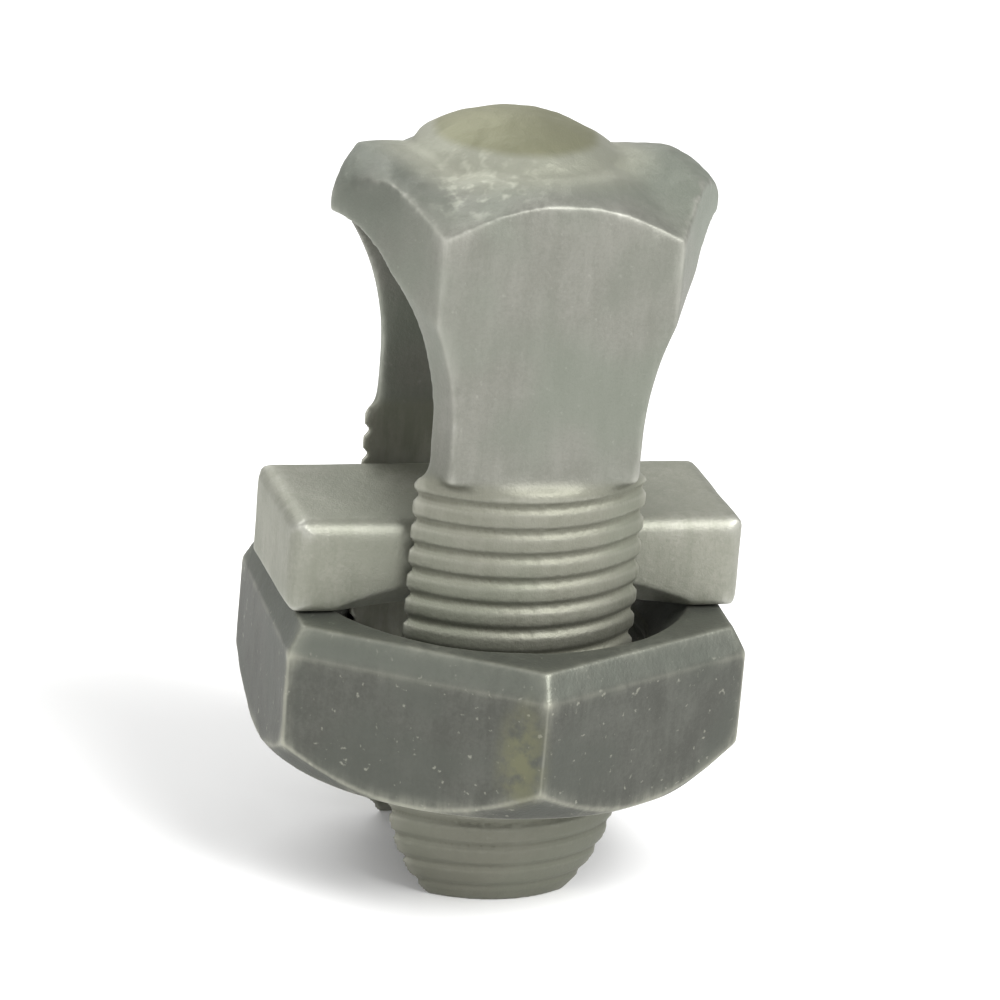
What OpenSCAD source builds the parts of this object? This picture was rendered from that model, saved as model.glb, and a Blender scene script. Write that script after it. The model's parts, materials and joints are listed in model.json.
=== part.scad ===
// Split bolt connector: a slotted bolt, a pressure bar and a hex nut.
// The bolt stands on its leg ends at z = 0, with its axis on Z and the conductor slot along X.

/* [Bolt] */
// Height of the bolt from its leg ends to the top of the head's button
bolt_height = 42.7; // [42:0.1:44]
// Major diameter of the thread on the legs
thread_diameter = 17.2; // [16.4:0.1:18]
// Height of the last full thread above the leg ends
thread_top = 24.4; // [22:0.1:26]
// Diameter over the rounded leg ends at their tips
tip_diameter = 13.6; // [12:0.1:15]
// Height over which the leg ends round in to the tips
tip_height = 6.3; // [4:0.1:7]

/* [Slot] */
// Width of the conductor slot between the legs
slot_width = 11; // [10:0.1:11.6]
// Height of the saddle's crown, where the conductors bear
saddle_top = 37.2; // [34:0.1:37.8]

/* [Head and neck] */
// Width of the head over its two side corners
head_width = 21.8; // [20:0.1:24]
// Width of the head's front and back flats
head_flat = 13.2; // [12.5:0.1:16]
// Distance between the front and back flats of the head and neck
head_depth = 16; // [15:0.1:17]
// Width of each leg at its waist, on the slot face
waist_width = 11.9; // [11:0.1:12.6]
// Height of the waist above the leg ends
waist_height = 26.9; // [25.5:0.1:28.5]
// Radius of the sweep from the waist out to the head's corners
flare_radius = 16.5; // [14:0.5:20]
// Angle at which the neck's sides draw in towards its flats
neck_draft = 15; // [5:1:20]

/* [Crown] */
// Height of the head's side lobes above the leg ends
lobe_top = 40.7; // [40:0.1:41.2]
// Radius of the lobes' rounding from front to back
lobe_radius = 14; // [12:0.5:18]
// Height of the arch at the top of the front and back flats
arch_top = 40.1; // [39.5:0.1:40.6]
// Radius of that arch
arch_radius = 11.9; // [10:0.1:15]
// Rise of the crown from each arch to the button
arch_rise = 1.1; // [0.4:0.1:1.4]
// Radius of the turned rounding on the head's side corners
corner_radius = 3.6; // [3:0.1:5]
// Diameter inside the turned rounding
corner_flat = 15; // [13:0.1:16]
// Diameter of the domed button on the crown
button_diameter = 11.2; // [9:0.1:12]
// Radius of the button's domed top
button_dome = 9.2; // [8:0.1:12]
// Distance of the button's centre from the bolt's axis
button_offset = 1.2; // [0:0.1:1.5]
// Direction of that offset, from +X round towards +Y
button_side = 120; // [0:5:355]

/* [Nut] */
// Width of the nut across its flats
nut_flats = 25.4; // [24:0.1:28]
// Height of the nut
nut_height = 9; // [7:0.1:10]
// Height of the nut's top face above the leg ends, as clamped
nut_top = 16.2; // [15:0.1:17]
// Turn of the nut about the bolt's axis, as clamped
nut_angle = -2.6; // [-30:0.1:30]
// Diameter of the countersink at the nut's top face
countersink = 21.6; // [19:0.1:23]
// Depth of the countersink
countersink_depth = 2.4; // [1:0.1:4]
// Depth of the small lead-in at the lower end of the bore
lead_in = 0.5; // [0.2:0.1:1]
// Height of the bevel round the nut's top edge
nut_bevel = 1.5; // [0.5:0.1:2]
// Inset of the bevel at the nut's top face
nut_bevel_inset = 0.8; // [0.3:0.1:1]
// Height of the turned chamfer on the nut's lower corners
nut_chamfer = 2.5; // [1:0.1:3]

/* [Pressure bar] */
// Length of the bar along the conductors
bar_length = 25.4; // [23:0.1:28]
// Height of the bar
bar_height = 5.3; // [4:0.1:5.6]
// Running gap between the bar and each leg
bar_gap = 0.5; // [0.3:0.1:0.8]
// Radius of the bar's upright corners
bar_corner = 1.2; // [0.5:0.1:2]
// Radius of the bar's rounded upper edges
bar_edge = 1; // [0.4:0.1:1.5]
// Radius of the bar's rounded lower edges
bar_foot_edge = 0.6; // [0.3:0.1:1]
// Depth of the hollowed relief under the bar's long edges
bar_relief = 1.6; // [0.5:0.1:1.8]
// Length of the relief between the bar's two feet
relief_length = 22; // [16:0.5:22.5]

/* [Hidden] */
$fn = 96;
// Radial running gap between the nut's bore and the legs
thread_gap = 0.05;
eps = 0.01;
// Land left inside the nut's flats by the turned chamfer
nut_land = 0.15;
thread_r = thread_diameter / 2;
bore_r = thread_r + thread_gap;
saddle_r = slot_width / 2;
bar_width = slot_width - 2 * bar_gap;
tin = [0.62, 0.62, 0.56];
tin_bar = [0.60, 0.60, 0.54];
tin_nut = [0.46, 0.47, 0.44];

// Radius of the arc that is "rise" high over a half chord "half"
function cap_radius(half, rise) = (half * half + rise * rise) / (2 * rise);

// Round shank that carries the thread, with its ends rounded in to the tips
module shank() {
    inset = thread_r - tip_diameter / 2;
    arc_r = cap_radius(tip_height, inset);
    rotate_extrude()
        intersection() {
            translate([thread_r - arc_r, tip_height])
                circle(r = arc_r);
            square([thread_r, tip_height + eps]);
        }
    translate([0, 0, tip_height])
        cylinder(r = thread_r, h = thread_top - tip_height);
}

// Plan of the head: flats front and back, a corner at each side
module head_plan() {
    x = head_width / 2;
    xf = head_flat / 2;
    y = head_depth / 2;
    polygon([[x, 0], [xf, y], [-xf, y], [-x, 0], [-xf, -y], [xf, -y]]);
}

// Solid of revolution under the crown, its side corners turned to a rounding
module turned_blank() {
    shoulder = corner_flat / 2;
    shoulder_z = lobe_top - corner_radius + eps;
    rotate_extrude() {
        translate([shoulder, shoulder_z])
            intersection() {
                circle(r = corner_radius);
                square(corner_radius);
            }
        translate([0, thread_top])
            square([shoulder + corner_radius, shoulder_z - thread_top]);
        translate([0, thread_top])
            square([shoulder, lobe_top + eps - thread_top]);
    }
}

// Half of the ridge between the flats, level under the button and then falling to the arch
module arch() {
    level = button_diameter / 2 - button_offset;
    cylinder(r = arch_radius + arch_rise, h = level);
    translate([0, 0, level])
        cylinder(r1 = arch_radius + arch_rise, r2 = arch_radius, h = head_depth / 2 - level);
}

// Crown of the head: two arched ridges that cross, one to the lobes and one to the flats
module crown() {
    intersection() {
        turned_blank();
        union() {
            translate([0, 0, lobe_top - lobe_radius])
                rotate([0, 90, 0])
                    cylinder(r = lobe_radius, h = 2 * head_width, center = true);
            translate([0, 0, arch_top - arch_radius])
                for (turn = [-90, 90])
                    rotate([turn, 0, 0])
                        arch();
            translate([-head_width, -head_width, thread_top - 1])
                cube([2 * head_width, 2 * head_width, waist_height - thread_top + 1]);
        }
    }
}

// Round cutter that sweeps one side of one leg out from the waist to the head
module flare_cutter() {
    translate([waist_width / 2, -slot_width / 2, waist_height])
        rotate([0, 0, -neck_draft])
            translate([flare_radius, 0, 0])
                rotate([90, 0, 0])
                    cylinder(r = flare_radius, h = head_depth + head_width, center = true);
}

// One side of one leg below the waist, cut straight with the same draft
module waist_cutter() {
    drop = waist_height - thread_top + 1;
    translate([waist_width / 2, -slot_width / 2, waist_height - drop])
        rotate([0, 0, -neck_draft])
            translate([0, -head_width, 0])
                cube([head_width, 2 * head_width, drop]);
}

// Everything outside the waisted neck in one quarter of the bolt
module neck_quarter_cut() {
    intersection() {
        union() {
            flare_cutter();
            waist_cutter();
        }
        translate([0, -head_width, thread_top - 1])
            cube([head_width, head_width, bolt_height]);
    }
}

// Neck and head: the hexagonal plan under the crown, waisted on both sides
module head_and_neck() {
    difference() {
        intersection() {
            translate([0, 0, thread_top])
                linear_extrude(bolt_height)
                    head_plan();
            crown();
        }
        for (mx = [0, 1], my = [0, 1])
            mirror([mx, 0, 0])
                mirror([0, my, 0])
                    neck_quarter_cut();
    }
}

// Domed button left on the crown by the forging, a little off the axis
module button() {
    rotate(button_side)
        translate([button_offset, 0, 0])
            intersection() {
                translate([0, 0, bolt_height - button_dome])
                    sphere(r = button_dome);
                translate([0, 0, arch_top - arch_rise])
                    cylinder(d = button_diameter, h = bolt_height);
            }
}

// Conductor slot, open at the leg ends, with a half-round saddle at its top
module slot() {
    spring = saddle_top - saddle_r;
    translate([-head_width, -saddle_r, -1])
        cube([2 * head_width, slot_width, spring + 1]);
    translate([0, 0, spring])
        rotate([0, 90, 0])
            cylinder(r = saddle_r, h = 2 * head_width, center = true);
}

// Slotted bolt: head, neck and threaded legs in one forging
module bolt_body() {
    color(tin)
        difference() {
            union() {
                shank();
                head_and_neck();
                button();
            }
            slot();
        }
}

// Outline of width w and height h on y = 0, its upper corners rounded by rt and lower by rb
module rounded_outline(w, h, rt, rb) {
    for (s = [-1, 1]) {
        translate([s * (w / 2 - rt), h - rt])
            circle(r = rt, $fn = 32);
        translate([s * (w / 2 - rb), rb])
            circle(r = rb, $fn = 32);
    }
    translate([-w / 2, rb])
        square([w, h - rt - rb]);
    translate([rt - w / 2, h / 2])
        square([w - 2 * rt, h / 2]);
    translate([rb - w / 2, 0])
        square([w - 2 * rb, h / 2]);
}

// Bar rounded in plan, in side view and in section
module bar_blank() {
    intersection() {
        rotate([90, 0, 0])
            linear_extrude(2 * bar_width, center = true)
                rounded_outline(bar_length, bar_height, bar_edge, bar_foot_edge);
        rotate([90, 0, 90])
            linear_extrude(2 * bar_length, center = true)
                rounded_outline(bar_width, bar_height, bar_edge, bar_foot_edge);
        translate([0, -bar_width / 2, -bar_height])
            linear_extrude(3 * bar_height)
                rounded_outline(bar_length, bar_width, bar_corner, bar_corner);
    }
}

// Shallow round cutter that hollows one lower long edge between the feet
module relief_cutter() {
    cut_r = cap_radius(relief_length / 2, bar_relief);
    translate([0, -bar_width / 2, 0])
        rotate([45, 0, 0])
            translate([0, bar_relief - cut_r, 0])
                cylinder(r = cut_r, h = 4 * bar_height, center = true);
}

// Pressure bar: rides in the slot and bears on the nut
module pressure_bar() {
    color(tin_bar)
        translate([0, 0, nut_top])
            difference() {
                bar_blank();
                relief_cutter();
                mirror([0, 1, 0])
                    relief_cutter();
            }
}

// Section of the nut across two flats, bevelled at its upper corners
module nut_section() {
    x = nut_flats / 2;
    polygon([
        [-x, 0], [x, 0], [x, nut_height - nut_bevel], [x - nut_bevel_inset, nut_height],
        [nut_bevel_inset - x, nut_height], [-x, nut_height - nut_bevel]
    ]);
}

// Six-sided blank, bevelled above, its lower corners turned off
module nut_blank() {
    corner = nut_flats / 2 / cos(30);
    intersection() {
        intersection_for (k = [0 : 2])
            rotate(60 * k)
                rotate([90, 0, 0])
                    linear_extrude(2 * nut_flats, center = true)
                        nut_section();
        union() {
            cylinder(r1 = nut_flats / 2 - nut_land, r2 = corner + nut_land, h = nut_chamfer);
            translate([0, 0, nut_chamfer])
                cylinder(r = corner + nut_land, h = nut_height);
        }
    }
}

// Bore of the nut, with the wide countersink above and a small lead-in below
module nut_bore() {
    translate([0, 0, -1])
        cylinder(r = bore_r, h = nut_height + 2);
    translate([0, 0, nut_height - countersink_depth])
        cylinder(r1 = bore_r, r2 = countersink / 2, h = countersink_depth);
    translate([0, 0, nut_height - eps])
        cylinder(d = countersink, h = 1);
    cylinder(r1 = bore_r + lead_in, r2 = bore_r, h = lead_in);
    translate([0, 0, -1])
        cylinder(r = bore_r + lead_in, h = 1 + eps);
}

// Hex nut on the threaded legs
module hex_nut() {
    color(tin_nut)
        translate([0, 0, nut_top - nut_height])
            rotate(nut_angle)
                difference() {
                    nut_blank();
                    nut_bore();
                }
}

bolt_body();
pressure_bar();
hex_nut();
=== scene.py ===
"""A tinned split bolt connector: bolt, pressure bar and hex nut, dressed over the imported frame."""

import json
import math

import bpy
import numpy as np
from mathutils import Matrix, Vector


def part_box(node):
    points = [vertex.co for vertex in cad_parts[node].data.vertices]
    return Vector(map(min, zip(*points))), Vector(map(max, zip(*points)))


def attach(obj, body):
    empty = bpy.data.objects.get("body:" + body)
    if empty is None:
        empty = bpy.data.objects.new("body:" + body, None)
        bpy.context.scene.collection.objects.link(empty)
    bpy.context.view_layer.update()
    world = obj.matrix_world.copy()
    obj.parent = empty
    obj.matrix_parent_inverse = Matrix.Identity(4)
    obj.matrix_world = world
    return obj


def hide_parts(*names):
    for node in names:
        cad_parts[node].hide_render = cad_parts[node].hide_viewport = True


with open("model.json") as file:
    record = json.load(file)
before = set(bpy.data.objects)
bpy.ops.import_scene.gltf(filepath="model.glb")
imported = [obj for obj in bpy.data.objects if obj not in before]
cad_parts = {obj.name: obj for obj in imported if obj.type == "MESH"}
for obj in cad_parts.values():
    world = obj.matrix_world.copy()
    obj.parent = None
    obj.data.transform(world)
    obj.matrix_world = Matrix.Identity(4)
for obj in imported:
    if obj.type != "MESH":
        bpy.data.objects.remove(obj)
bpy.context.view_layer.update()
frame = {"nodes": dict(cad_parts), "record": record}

MM = 0.001

# Thread. The pitch is how far one turn of the nut moves the bar.
PITCH = 2 * math.pi * frame["record"]["behaviour"]["couplings"][0]["ratio"]
THREAD_RADIUS = 8.6 * MM
THREAD_TOP = 24.4 * MM
THREAD_DEPTH = 0.27 * MM
GROOVE_ANGLE = math.radians(104)
CUTTER_LIFT = 0.08 * MM
STEPS_PER_TURN = 72

# Tips of the legs, where the thread follows the rounded end and fades
TIP_HEIGHT = 6.3 * MM
TIP_INSET = 1.8 * MM
FADE_HEIGHT = 4.0 * MM
TIP_FADE = 0.09 * MM

# Grain of the re-made meshes, and the most triangles of one piece
BOLT_GRAIN = 0.14 * MM
BAR_GRAIN = 0.16 * MM
NUT_GRAIN = 0.17 * MM
MOST_TRIANGLES = 192000

# Share of a dent's noise that goes inward, so that the piece keeps inside its solid
MOSTLY_INWARD = 0.8

# Heights where a finish or a form begins
CROWN_FOOT = 38.0 * MM
BUTTON_EDGE = 41.2 * MM
BEVEL_FOOT = 14.7 * MM

# Stored measures of how far each point stands out, feeding wear, painted groove shade and a painted rim
# highlight: its name, the times it is spread on and its strength
WEAR_AND_SHEEN_LAYERS = (("wear_and_shade", 2, 3.6), ("rim_highlight", 40, 9.0))

# Sizes of the plate's patterns, in millimetres
STREAK_SIZE = 0.7
GRAIN_SIZE = 0.22
SPECK_SIZE = 0.42
PATCH_SIZE = 1.1
STRUCK_SIZE = 0.75

# Places on the plate, in millimetres; the stain's height is squashed to draw it out upright
STAIN_SQUASH = 0.42
STAIN = (-1.75, -14.1, 11.3 * STAIN_SQUASH)
LEFT_LOBE = (-8.5, -1.0, 40.5)
RIGHT_LOBE = (8.0, -2.5, 40.0)
STRUCK = (-3.3, -4.3, 40.2)
BUTTON = (-0.6, 1.04, 41.0)


# ---------------------------------------------------------------- mesh tools


def select_only(piece):
    bpy.ops.object.select_all(action="DESELECT")
    piece.select_set(True)
    bpy.context.view_layer.objects.active = piece


def apply_all(piece):
    """Applies the piece's modifiers, from the top down."""
    select_only(piece)
    for modifier in list(piece.modifiers):
        bpy.ops.object.modifier_apply(modifier=modifier.name)


def copy_of_node(node, name):
    """A merged copy of a CAD node's mesh, free of its body."""
    source = frame["nodes"][node]
    piece = bpy.data.objects.new(name, source.data.copy())
    bpy.context.scene.collection.objects.link(piece)
    piece.data.name = name
    piece.data.materials.clear()
    select_only(piece)
    bpy.ops.object.mode_set(mode="EDIT")
    bpy.ops.mesh.select_all(action="SELECT")
    bpy.ops.mesh.remove_doubles(threshold=1e-6)
    bpy.ops.object.mode_set(mode="OBJECT")
    return piece


def helical_cutter(name, radius, outward, bottom, top):
    """A V-shaped ridge wound on Z between two heights. Its edge points in, or out for an inner thread."""
    half = THREAD_DEPTH * math.tan(GROOVE_ANGLE / 2)
    way = 1 if outward else -1
    bpy.ops.object.select_all(action="DESELECT")
    bpy.ops.mesh.primitive_circle_add(
        vertices=3, radius=THREAD_DEPTH, fill_type="NOTHING", location=(0, 0, 0)
    )
    cutter = bpy.context.object
    cutter.name = name
    back = radius - way * CUTTER_LIFT
    half *= 1 + CUTTER_LIFT / THREAD_DEPTH
    corners = ((radius + way * THREAD_DEPTH, 0), (back, half), (back, -half))
    for vertex, (across, up) in zip(cutter.data.vertices, corners):
        vertex.co = (across, 0, bottom + up)
    turns = (top - bottom) / PITCH
    screw = cutter.modifiers.new("wind", "SCREW")
    screw.axis = "Z"
    screw.angle = math.tau
    screw.iterations = max(1, round(turns))
    screw.screw_offset = PITCH
    screw.steps = STEPS_PER_TURN
    screw.render_steps = STEPS_PER_TURN
    screw.use_merge_vertices = False
    apply_all(cutter)
    bpy.ops.object.mode_set(mode="EDIT")
    bpy.ops.mesh.select_all(action="SELECT")
    bpy.ops.mesh.remove_doubles(threshold=1e-7)
    bpy.ops.mesh.fill_holes(sides=4)
    bpy.ops.mesh.select_all(action="SELECT")
    bpy.ops.mesh.normals_make_consistent(inside=False)
    bpy.ops.object.mode_set(mode="OBJECT")
    return cutter


def follow_tip(cutter):
    """Draws the thread in where the legs round in to their tips, and makes it shallower there."""
    for vertex in cutter.data.vertices:
        below = max(0.0, 1 - vertex.co.z / TIP_HEIGHT)
        fade = min(1.0, max(0.0, 2 - vertex.co.z / FADE_HEIGHT))
        inset = TIP_INSET * below * below - TIP_FADE * fade
        share = 1 - inset / THREAD_RADIUS
        vertex.co.x *= share
        vertex.co.y *= share


def cut(piece, cutter):
    """Takes the cutter out of the piece."""
    boolean = piece.modifiers.new("cut", "BOOLEAN")
    boolean.operation = "DIFFERENCE"
    boolean.solver = "EXACT"
    boolean.object = cutter
    apply_all(piece)
    bpy.data.objects.remove(cutter)


def soften(piece, grain, smoothing):
    """Re-meshes the piece evenly and rounds every edge a little, as plating and handling do."""
    remesh = piece.modifiers.new("even", "REMESH")
    remesh.mode = "VOXEL"
    remesh.voxel_size = grain
    remesh.use_smooth_shade = True
    smooth = piece.modifiers.new("round", "SMOOTH")
    smooth.factor = 0.5
    smooth.iterations = smoothing
    apply_all(piece)


def ease(piece, name, weights, times):
    """Rounds the weighted part of the piece further."""
    smooth = piece.modifiers.new(name, "SMOOTH")
    smooth.factor = 0.5
    smooth.iterations = times
    smooth.vertex_group = weigh(piece, name, weights)
    apply_all(piece)


def weigh(piece, name, weights):
    """Makes a vertex group of the weights and gives its name."""
    group = piece.vertex_groups.new(name=name)
    for index in np.nonzero(weights > 0.01)[0]:
        group.add([int(index)], float(weights[index]), "REPLACE")
    return name


def dent(piece, name, size, strength, weights=None):
    """Presses soft hollows of the given size into the surface, in metres."""
    texture = bpy.data.textures.new(name, "CLOUDS")
    texture.noise_scale = size
    texture.noise_depth = 2
    texture.noise_basis = "ORIGINAL_PERLIN"
    displace = piece.modifiers.new(name, "DISPLACE")
    displace.texture = texture
    displace.texture_coords = "LOCAL"
    displace.strength = strength
    displace.mid_level = MOSTLY_INWARD
    if weights is not None:
        displace.vertex_group = weigh(piece, name, weights)
    apply_all(piece)


def points_of(piece):
    spots = np.zeros(len(piece.data.vertices) * 3)
    piece.data.vertices.foreach_get("co", spots)
    return spots.reshape(-1, 3)


def normals_of(piece):
    ways = np.zeros(len(piece.data.vertices) * 3)
    piece.data.vertices.foreach_get("normal", ways)
    return ways.reshape(-1, 3)


def ramp(values, low, high):
    """0 at low, 1 at high and smooth between; low may be the larger."""
    share = np.clip((values - low) / (high - low), 0, 1)
    return share * share * (3 - 2 * share)


def mark_edges_and_grooves(piece):
    """Stores how far each point stands out of its surroundings: over 0.5 on an edge, under it in a groove.

    The first attribute looks close by and drives worn edges, which carry a painted highlight too, and
    painted shade in the grooves; the second looks further round, fades softly off the edges and drives a
    painted rim highlight.
    """
    spots = points_of(piece)
    ways = normals_of(piece)
    ends = np.zeros(len(piece.data.edges) * 2, dtype=np.int64)
    piece.data.edges.foreach_get("vertices", ends)
    first, second = ends.reshape(-1, 2).T
    count = np.bincount(ends, minlength=len(spots))
    length = np.linalg.norm(spots[first] - spots[second], axis=1).mean()

    def around(values):
        total = np.bincount(first, values[second], len(spots))
        total += np.bincount(second, values[first], len(spots))
        return total / np.maximum(count, 1)

    middle = np.stack([around(spots[:, axis]) for axis in range(3)], axis=1)
    proud = ((spots - middle) * ways).sum(axis=1) / length
    for name, times, gain in WEAR_AND_SHEEN_LAYERS:
        for _ in range(times):
            proud = (proud + around(proud)) / 2
        layer = piece.data.attributes.new(name, "FLOAT", "POINT")
        layer.data.foreach_set("value", np.clip(0.5 + gain * proud, 0, 1).astype(np.float32))


def thin_out(piece):
    """Keeps the piece under the triangle limit, flat places first."""
    triangles = sum(len(face.vertices) - 2 for face in piece.data.polygons)
    if triangles > MOST_TRIANGLES:
        decimate = piece.modifiers.new("thin", "DECIMATE")
        decimate.ratio = MOST_TRIANGLES / triangles
        apply_all(piece)


def finish_piece(piece, material, node, body):
    thin_out(piece)
    mark_edges_and_grooves(piece)
    select_only(piece)
    bpy.ops.object.shade_smooth()
    piece.data.materials.clear()
    piece.data.materials.append(material)
    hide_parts(node)
    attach(piece, body)


# ------------------------------------------------------------- shader tools


class Value:
    """A socket of a material; arithmetic on it adds Math nodes."""

    def __init__(self, shader, socket):
        self.shader = shader
        self.socket = socket

    def maths(self, operation, *terms):
        return self.shader.node("Math", {"operation": operation}, dict(enumerate(terms)))

    def __add__(self, other):
        return self.maths("ADD", self, other)

    __radd__ = __add__

    def __sub__(self, other):
        return self.maths("SUBTRACT", self, other)

    def __rsub__(self, other):
        return self.maths("SUBTRACT", other, self)

    def __mul__(self, other):
        return self.maths("MULTIPLY", self, other)

    __rmul__ = __mul__

    def over(self, low, high):
        """0 where the value is low, 1 where it is high, smooth between; low may be the larger."""
        settings = {"interpolation_type": "SMOOTHSTEP"}
        sockets = {"Value": self, "From Min": low, "From Max": high}
        return self.shader.node("MapRange", settings, sockets)


class Shader:
    """A new material with one Principled surface."""

    def __init__(self, name):
        self.material = bpy.data.materials.new(name)
        self.material.use_nodes = True
        self.tree = self.material.node_tree
        self.surface = self.tree.nodes["Principled BSDF"]

    def node(self, kind, settings, sockets, output=0):
        """Adds a node, sets it, fills its sockets with values or links and gives one of its outputs."""
        made = self.tree.nodes.new("ShaderNode" + kind)
        for setting, choice in settings.items():
            setattr(made, setting, choice)
        for key, content in sockets.items():
            self.fill(made.inputs[key], content)
        return Value(self, made.outputs[output])

    def fill(self, socket, content):
        if isinstance(content, Value):
            self.tree.links.new(content.socket, socket)
        else:
            socket.default_value = content

    def set(self, **sockets):
        for key, content in sockets.items():
            self.fill(self.surface.inputs[key.replace("_", " ")], content)

    def place(self):
        """Object coordinates in millimetres."""
        here = self.node("TexCoord", {}, {}, "Object")
        return self.node("Mapping", {}, {"Vector": here, "Scale": (1000, 1000, 1000)})

    def stretched(self, place, x, y, z):
        return self.node("Mapping", {}, {"Vector": place, "Scale": (x, y, z)})

    def axis(self, place, name):
        return self.node("SeparateXYZ", {}, {0: place}, name)

    def noise(self, place, size, detail, roughness, distortion=0.0):
        """Soft noise whose spots are about the given size, in millimetres."""
        sockets = {
            "Vector": place,
            "Scale": 1 / size,
            "Detail": detail,
            "Roughness": roughness,
            "Distortion": distortion,
        }
        return self.node("TexNoise", {}, sockets)

    def near(self, place, spot, reach, core=0.0):
        """1 within the core round the spot, 0 from the reach on, all in millimetres."""
        sockets = {0: place, 1: spot}
        distance = self.node("VectorMath", {"operation": "DISTANCE"}, sockets, "Value")
        return distance.over(reach, core)

    def stored(self, name):
        return self.node("Attribute", {"attribute_name": name}, {}, "Fac")

    def mix(self, share, below, above):
        settings = {"data_type": "RGBA", "blend_type": "MIX"}
        return self.node("Mix", settings, {0: share, 6: self.colour(below), 7: self.colour(above)}, 2)

    def colour(self, content):
        return content if isinstance(content, Value) else (*content, 1)

    def bump(self, height, depth, strength):
        sockets = {"Height": height, "Distance": depth, "Strength": strength}
        return self.node("Bump", {}, sockets)


def metal(level, olive=0.0, green=0.0):
    """A near-neutral metal colour, drawn towards olive or towards grey-green."""
    return (level * (1 - 0.08 * green), level * (1 + 0.03 * green), level * (1 - olive - 0.08 * green))


# ---------------------------------------------------------------- materials


def tin_plate(name, light, shade, tint, edge, groove_shade, cloud_size, speckle):
    """Dull tin plate: faintly cloudy and finely grained, with a painted highlight on the edges that is
    partly real wear, and painted shade darkening the grooves.
    """
    shader = Shader(name)
    place = shader.place()
    clouds = shader.noise(place, cloud_size, detail=5, roughness=0.6, distortion=0.4)
    hue = shader.noise(place, 2.2 * cloud_size, detail=2, roughness=0.5)
    streaks = shader.noise(shader.stretched(place, 1, 1, 0.18), STREAK_SIZE, detail=4, roughness=0.65)
    grain = shader.noise(place, GRAIN_SIZE, detail=3, roughness=0.75)
    specks = shader.noise(place, SPECK_SIZE, detail=2, roughness=0.5)
    wear_and_shade = shader.stored("wear_and_shade")
    # painted highlight mask: a soft rim round the edges
    rim_sheen = shader.stored("rim_highlight").over(0.54, 0.9)
    worn_and_lit_edges = wear_and_shade.over(0.555, 0.82)
    shaded_groove = wear_and_shade.over(0.47, 0.2)
    tone = clouds * 0.4 + streaks * 0.3 + grain * 0.3
    sheen_breakup = (clouds * 0.5 + streaks * 0.5).over(0.4, 0.62)
    base = shader.mix(tone.over(0.38, 0.64), shade, light)
    base = shader.mix(hue.over(0.45, 0.62) * 0.6, base, tint)
    base = shader.mix(specks.over(0.66, 0.76) * speckle, base, edge)
    # painted highlight: a soft bright rim along the edges, broken up by noise
    base = shader.mix(rim_sheen * (0.12 + sheen_breakup * 0.4), base, edge)
    # painted shade: the grooves are darkened where shade would fall in them
    base = shader.mix(shaded_groove * 0.75, base, groove_shade)
    # edges lightened, partly real wear of the plate and partly a painted highlight
    base = shader.mix(worn_and_lit_edges * 0.7, base, edge)
    rough = 0.5 + tone * 0.14 + shaded_groove * 0.2 - worn_and_lit_edges * 0.08
    height = grain * 0.6 + streaks * 0.3 + clouds * 0.8
    normal = shader.bump(height, 0.06 * MM, 0.8)
    shader.set(Base_Color=base, Metallic=0.8 - shaded_groove * 0.3, Roughness=rough, Normal=normal)
    return shader, place, base


def bolt_plate():
    """The bolt's plate: olive on the button, pale round it, darker in one lobe where shade is painted over
    a partly duller plate, and duller on the tips.
    """
    light, shade = metal(0.24, 0.12), metal(0.19, 0.13, 0.1)
    # the second colour is bright, for specks, worn edges and a painted rim highlight; the third is painted
    # shade for the grooves
    tint, edge, groove_shade = metal(0.2, 0.09, 0.9), metal(0.48, 0.1), metal(0.06, 0.2)
    shader, place, base = tin_plate("bolt_tin", light, shade, tint, edge, groove_shade, 4.0, 0.12)
    height = shader.axis(place, "Z")
    thread = height.over(THREAD_TOP / MM + 0.6, THREAD_TOP / MM - 0.2)
    base = shader.mix(thread * 0.35, base, metal(0.21, 0.3))
    tips = height.over(TIP_HEIGHT / MM + 1.2, TIP_HEIGHT / MM - 0.3)
    base = shader.mix(tips * 0.4, base, metal(0.13, 0.2))
    rim = shader.stored("wear_and_shade").over(0.52, 0.68)
    green = shader.near(place, RIGHT_LOBE, 7.5, 2.0) * (1 - rim)
    base = shader.mix(green * 0.5, base, metal(0.2, 0.06, 1.5))
    # painted shade: the left lobe is darkened as if it faced away from the light, partly also a duller
    # plate
    dull_and_shaded = shader.near(place, LEFT_LOBE, 7.5, 1.5) * (1 - rim)
    base = shader.mix(dull_and_shaded * 0.6, base, metal(0.11, 0.07, 0.9))
    marks = shader.noise(shader.stretched(place, 1, 1, 0.5), STRUCK_SIZE, detail=2, roughness=0.55)
    struck = shader.near(place, STRUCK, 4.6, 1.5) * marks.over(0.47, 0.7)
    base = shader.mix(struck * 0.55, base, metal(0.5, 0.12, 0.3))
    ring = shader.near(place, BUTTON, 8.5, 6.0) * height.over(39.0, 40.0)
    base = shader.mix(ring * 0.55, base, metal(0.34, 0.2))
    cap = height.over(BUTTON_EDGE / MM, BUTTON_EDGE / MM + 0.4)
    shader.set(Base_Color=shader.mix(cap * 0.8, base, metal(0.18, 0.4)))
    return shader.material


def bar_plate():
    light, shade = metal(0.3, 0.15), metal(0.23, 0.16, 0.2)
    # the second colour is bright, for specks, worn edges and a painted rim highlight; the third is painted
    # shade for the grooves
    tint, edge, groove_shade = metal(0.22, 0.16, 0.4), metal(0.42, 0.1), metal(0.07, 0.2)
    return tin_plate("bar_tin", light, shade, tint, edge, groove_shade, 5.0, 0.12)[0].material


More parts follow.
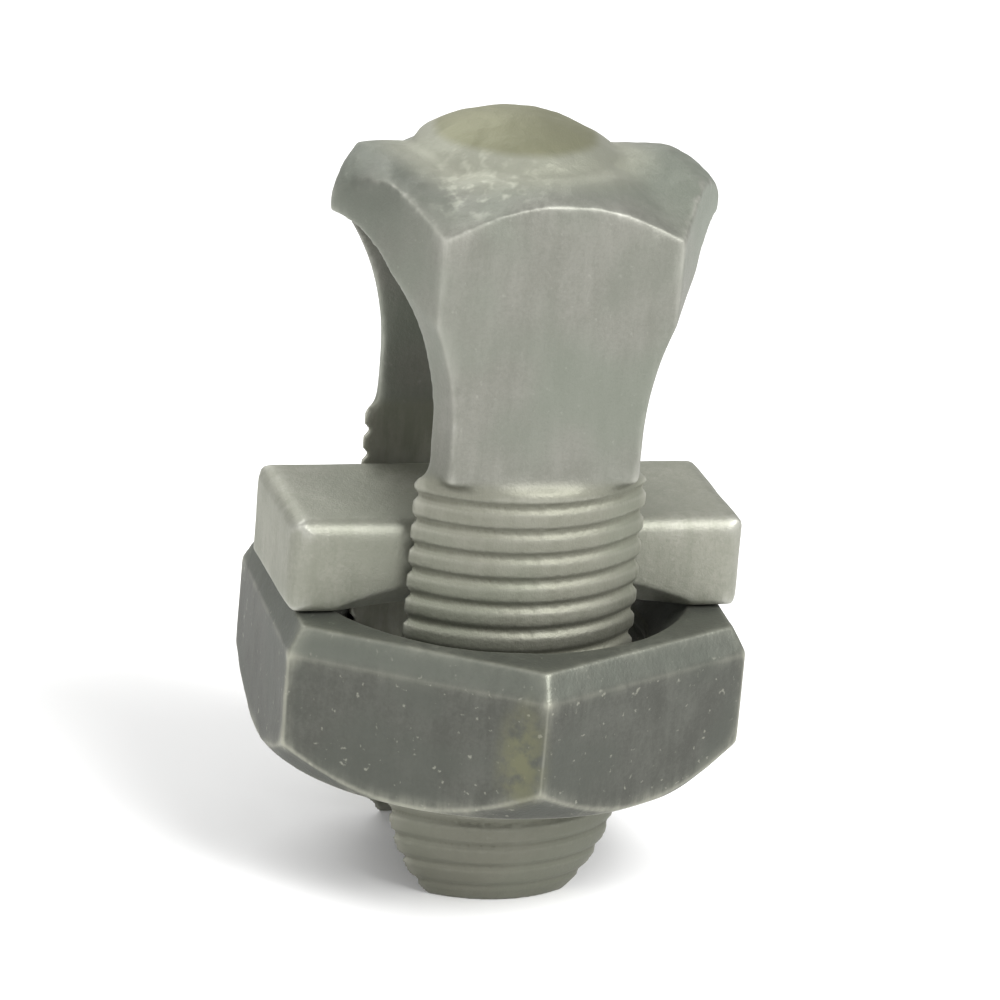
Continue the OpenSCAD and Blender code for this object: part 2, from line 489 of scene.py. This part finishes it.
def nut_plate():
    """The nut's darker plate, greenish on its bevel and stained yellowish beside its front corner."""
    light, shade = metal(0.114, 0.1, 0.25), metal(0.08, 0.11, 0.2)
    # the second colour is bright, for specks, worn edges and a painted rim highlight; the third is painted
    # shade for the grooves
    tint, edge, groove_shade = metal(0.092, 0.08, 0.6), metal(0.38, 0.17), metal(0.025, 0.2)
    shader, place, base = tin_plate("nut_tin", light, shade, tint, edge, groove_shade, 3.0, 0.45)
    patches = shader.noise(place, PATCH_SIZE, detail=4, roughness=0.6)
    bevel = shader.axis(place, "Z").over(BEVEL_FOOT / MM - 0.2, BEVEL_FOOT / MM + 0.4)
    base = shader.mix(bevel * (0.2 + patches * 0.7), base, metal(0.125, 0.08, 0.7))
    squashed = shader.stretched(place, 1, 1, STAIN_SQUASH)
    stain = shader.near(squashed, STAIN, 1.9, 0.3) * patches.over(0.3, 0.6)
    shader.set(Base_Color=shader.mix(stain * 0.7, base, metal(0.17, 0.42)))
    return shader.material


bolt_tin = bolt_plate()
bar_tin = bar_plate()
nut_tin = nut_plate()


# ------------------------------------------------------------------- pieces


def make_bolt():
    bolt = copy_of_node("bolt_body", "bolt")
    shaded_groove = helical_cutter("bolt_groove", THREAD_RADIUS, False, -PITCH, THREAD_TOP - 0.5 * PITCH)
    follow_tip(shaded_groove)
    cut(bolt, shaded_groove)
    soften(bolt, BOLT_GRAIN, 4)
    heights = points_of(bolt)[:, 2]
    above_thread = ramp(heights, THREAD_TOP - 0.2 * MM, THREAD_TOP + 0.8 * MM)
    ease(bolt, "rounded", above_thread, 26)
    below_run_out = ramp(heights, THREAD_TOP - 0.5 * MM, THREAD_TOP - 0.1 * MM)
    run_out = below_run_out * ramp(heights, THREAD_TOP + 2 * MM, THREAD_TOP + 0.6 * MM)
    ease(bolt, "run_out", run_out, 60)
    crown = ramp(heights, CROWN_FOOT, CROWN_FOOT + 1.5 * MM)
    neck = ramp(heights, THREAD_TOP, THREAD_TOP + 2 * MM)
    dent(bolt, "hammered", 1.9 * MM, 0.26 * MM, crown)
    dent(bolt, "forged", 6 * MM, 0.2 * MM, neck)
    finish_piece(bolt, bolt_tin, "bolt_body", "bolt")


def make_bar():
    bar = copy_of_node("pressure_bar", "bar")
    soften(bar, BAR_GRAIN, 5)
    dent(bar, "bar_dents", 4 * MM, 0.15 * MM)
    finish_piece(bar, bar_tin, "pressure_bar", "bar")


def make_nut():
    nut = copy_of_node("hex_nut", "nut")
    low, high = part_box("hex_nut")
    cut(nut, helical_cutter("nut_groove", THREAD_RADIUS, True, low[2] - PITCH, high[2] + PITCH))
    soften(nut, NUT_GRAIN, 5)
    dent(nut, "nut_dents", 3.5 * MM, 0.12 * MM)
    finish_piece(nut, nut_tin, "hex_nut", "nut")


make_bolt()
make_bar()
make_nut()


# ------------------------------------------------- floor, lights and camera


AIM = Vector((0, 0, 0.02))
CAMERA_PLACE = Vector((-0.0811, -0.2733, 0.1234))
CAMERA_UP = Vector((0.00844, 0.34051, 0.94023))
FOCUS = Vector((0, 0, 0.0208))


def make_floor():
    bpy.ops.object.select_all(action="DESELECT")
    bpy.ops.mesh.primitive_plane_add(size=3, location=(0, 0, 0))
    floor = bpy.context.object
    floor.name = "floor"
    shader = Shader("pale_floor")
    shader.set(Base_Color=(0.86, 0.86, 0.86, 1), Roughness=0.9)
    floor.data.materials.append(shader.material)


def soft_light(name, place, size, power):
    """An area light aimed at the middle of the object, in metres and watts."""
    data = bpy.data.lights.new(name, "AREA")
    data.shape = "RECTANGLE"
    data.size, data.size_y = size
    data.energy = power
    light = bpy.data.objects.new(name, data)
    turn = (AIM - Vector(place)).to_track_quat("-Z", "Y").to_matrix()
    light.matrix_world = Matrix.Translation(place) @ turn.to_4x4()
    bpy.context.scene.collection.objects.link(light)


def make_world():
    world = bpy.data.worlds.new("studio")
    world.use_nodes = True
    background = world.node_tree.nodes["Background"]
    background.inputs["Color"].default_value = (0.96, 0.96, 0.95, 1)
    background.inputs["Strength"].default_value = 0.58
    bpy.context.scene.world = world


def make_camera():
    data = bpy.data.cameras.new("camera")
    data.sensor_width = 36
    data.lens = 200
    data.clip_start = 0.01
    camera = bpy.data.objects.new("camera", data)
    forward = (FOCUS - CAMERA_PLACE).normalized()
    up = (CAMERA_UP - forward * CAMERA_UP.dot(forward)).normalized()
    right = forward.cross(up)
    turn = Matrix((right, up, -forward)).transposed()
    camera.matrix_world = Matrix.Translation(CAMERA_PLACE) @ turn.to_4x4()
    bpy.context.scene.collection.objects.link(camera)
    bpy.context.scene.camera = camera


make_floor()
make_world()
soft_light("key", (0.28, -0.42, 0.52), (0.4, 0.4), 7)
soft_light("fill", (-0.5, -0.2, 0.35), (0.3, 0.5), 1.5)
soft_light("back", (-0.15, 0.5, 0.5), (0.6, 0.3), 2.5)
make_camera()
bpy.context.scene.view_settings.view_transform = "Standard"
